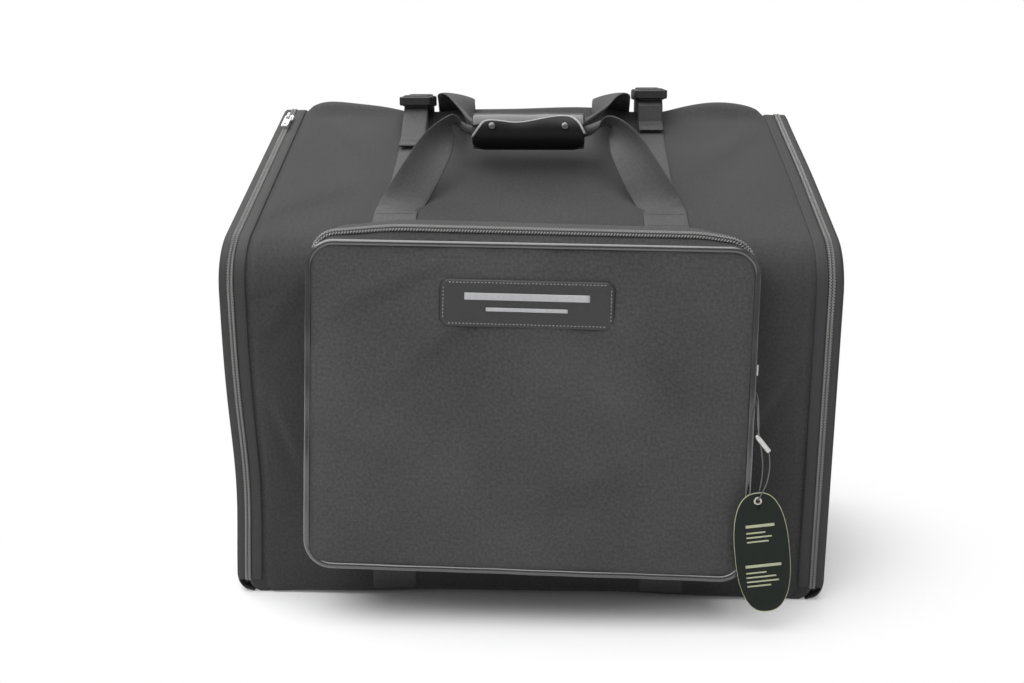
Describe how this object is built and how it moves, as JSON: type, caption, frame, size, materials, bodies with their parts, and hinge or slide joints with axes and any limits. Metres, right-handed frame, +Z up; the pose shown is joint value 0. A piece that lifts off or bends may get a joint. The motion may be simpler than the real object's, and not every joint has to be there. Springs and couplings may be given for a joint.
{
  "type": "soft accordion case",
  "caption": "Padded black nylon case for a piano accordion: zipped front and slanted top, zipped front pocket, wrapped carrying handle, buckled straps, shoulder straps behind.",
  "frame": {"origin": "middle of the case's base, on the surface that it stands on", "axes": "+X across the case, to the right of someone facing its pocket; -Y out of the front; +Z up"},
  "size_m": [0.5424, 0.3683, 0.463],
  "materials": {
    "nylon_cover": "woven nylon, coarse plain weave, charcoal black",
    "board": "thin stiff plastic board",
    "foam": "closed-cell padding",
    "plush_lining": "brushed plush lining",
    "rim_tape": "folded binding tape",
    "zip_tape": "woven zip tape",
    "zip_coil": "moulded nylon coil",
    "zip_metal": "plated zip slider and pull",
    "webbing": "woven webbing with a ribbed face",
    "yoke_cloth": "woven nylon",
    "strap_pad": "padded strap in woven nylon",
    "buckle_plastic": "moulded acetal, slight sheen",
    "grip_leather": "smooth glossy leatherette",
    "snap_metal": "dark lacquered snap cap",
    "piping_vinyl": "smooth piping cord in vinyl",
    "patch_leather": "embossed leatherette patch",
    "tag_card": "laminated card, dark green-black",
    "eyelet_metal": "rolled eyelet",
    "tag_cord": "thin pale cord",
    "tag_plastic": "small moulded lock"
  },
  "bodies": {
    "shell": {"base_cover": "nylon_cover", "base_board": "board", "base_foam": "foam", "base_lining": "plush_lining", "back_cover": "nylon_cover", "back_foam": "foam", "back_lining": "plush_lining", "left_end_cover": "nylon_cover", "left_end_foam": "foam", "left_end_lining": "plush_lining", "right_end_cover": "nylon_cover", "right_end_foam": "foam", "right_end_lining": "plush_lining", "end_rims": "rim_tape", "shell_zip_tape": "zip_tape", "shell_zip_coil": "zip_coil", "body_webbing": "webbing", "strap_anchors": "webbing", "strap_yoke": "yoke_cloth", "left_shoulder_strap": "strap_pad", "right_shoulder_strap": "strap_pad", "ladder_locks": "buckle_plastic", "lower_straps": "webbing"},
    "flap": {"front_cover": "nylon_cover", "front_foam": "foam", "front_lining": "plush_lining", "flap_zip_tape": "zip_tape", "flap_zip_coil": "zip_coil", "front_handle": "webbing", "grip_sleeve": "grip_leather", "closure_anchors": "webbing", "front_webbing": "webbing", "pocket_back_gusset": "nylon_cover", "pocket_back_coil": "zip_coil"},
    "rear_handle": {"rear_handle": "webbing"},
    "left_closure": {"left_closure_strap": "webbing", "left_buckle_socket": "buckle_plastic"},
    "right_closure": {"right_closure_strap": "webbing", "right_buckle_socket": "buckle_plastic"},
    "left_plug": {"left_buckle_plug": "buckle_plastic", "left_tail": "webbing"},
    "right_plug": {"right_buckle_plug": "buckle_plastic", "right_tail": "webbing"},
    "grip_wrap": {"grip_flap": "grip_leather", "snap_caps": "snap_metal"},
    "pocket_front": {"pocket_panel": "nylon_cover", "pocket_front_gusset": "nylon_cover", "pocket_front_coil": "zip_coil", "pocket_piping": "piping_vinyl", "pocket_patch": "patch_leather"},
    "pocket_slider": {"pocket_slider": "zip_metal"},
    "pocket_pull": {"pocket_pull": "zip_metal"},
    "tag": {"hang_tag": "tag_card", "tag_eyelet": "eyelet_metal", "tag_loop": "tag_cord", "tag_lock": "tag_plastic"},
    "side_slider": {"side_slider": "zip_metal"},
    "side_pull": {"side_pull": "zip_metal"},
    "ridge_slider": {"ridge_slider": "zip_metal"},
    "ridge_pull": {"ridge_pull": "zip_metal"}
  },
  "joints": [
    {"name": "flap_tilt", "type": "hinge", "parent": "shell", "child": "flap", "pos_m": [0, -0.14, 0.0004], "axis": [1, 0, 0], "range_deg": [0, 35]},
    {"name": "rear_handle_swing", "type": "hinge", "parent": "shell", "child": "rear_handle", "pos_m": [0, 0.1416, 0.3802], "axis": [1, 0, 0], "range_deg": [-140, 0]},
    {"name": "left_closure_swing", "type": "hinge", "parent": "shell", "child": "left_closure", "pos_m": [0, 0.1416, 0.3802], "axis": [1, 0, 0], "range_deg": [-140, 0]},
    {"name": "right_closure_swing", "type": "hinge", "parent": "shell", "child": "right_closure", "pos_m": [0, 0.1416, 0.3802], "axis": [1, 0, 0], "range_deg": [-140, 0]},
    {"name": "left_plug_release", "type": "slide", "parent": "flap", "child": "left_plug", "axis": [0, -1, 0], "range_m": [0, 0.022]},
    {"name": "right_plug_release", "type": "slide", "parent": "flap", "child": "right_plug", "axis": [0, -1, 0], "range_m": [0, 0.022]},
    {"name": "grip_wrap_open", "type": "hinge", "parent": "flap", "child": "grip_wrap", "pos_m": [-0.003, 0.0065, 0.3965], "axis": [1, 0, 0], "range_deg": [0, 80]},
    {"name": "pocket_open", "type": "hinge", "parent": "flap", "child": "pocket_front", "pos_m": [-0.002, -0.2, 0.053], "axis": [0.9998, -0.0026, -0.0208], "range_deg": [0, 12]},
    {"name": "pocket_zip_slide", "type": "slide", "parent": "pocket_front", "child": "pocket_slider", "axis": [0.0209, 0.1218, 0.9923], "range_m": [0, 0.08]},
    {"name": "pocket_pull_swing", "type": "hinge", "parent": "pocket_slider", "child": "pocket_pull", "pos_m": [0.19234, -0.16904, 0.22369], "axis": [0, 0.9925, -0.1219], "range_deg": [-60, 0]},
    {"name": "tag_swing", "type": "hinge", "parent": "pocket_pull", "child": "tag", "pos_m": [0.19194, -0.17141, 0.20443], "axis": [0.9998, -0.0026, -0.0208], "range_deg": [-72, 0]},
    {"name": "side_zip_slide", "type": "slide", "parent": "flap", "child": "side_slider", "axis": [0, -0.9168, -0.3994], "range_m": [0, 0.2]},
    {"name": "side_pull_swing", "type": "hinge", "parent": "side_slider", "child": "side_pull", "pos_m": [-0.26, 0.10276, 0.42799], "axis": [1, 0, 0], "range_deg": [-120, 0]},
    {"name": "ridge_zip_slide", "type": "slide", "parent": "shell", "child": "ridge_slider", "axis": [1, 0, 0], "range_m": [0, 0.43]},
    {"name": "ridge_pull_swing", "type": "hinge", "parent": "ridge_slider", "child": "ridge_pull", "pos_m": [-0.215, 0.1457, 0.404], "axis": [0, 0, 1], "range_deg": [-120, 0]}
  ],
  "couplings": [
    {"joint": "rear_handle_swing", "follows": "flap_tilt", "ratio": -4},
    {"joint": "left_closure_swing", "follows": "flap_tilt", "ratio": -4},
    {"joint": "right_closure_swing", "follows": "flap_tilt", "ratio": -4},
    {"joint": "tag_swing", "follows": "flap_tilt", "ratio": -2}
  ]
}
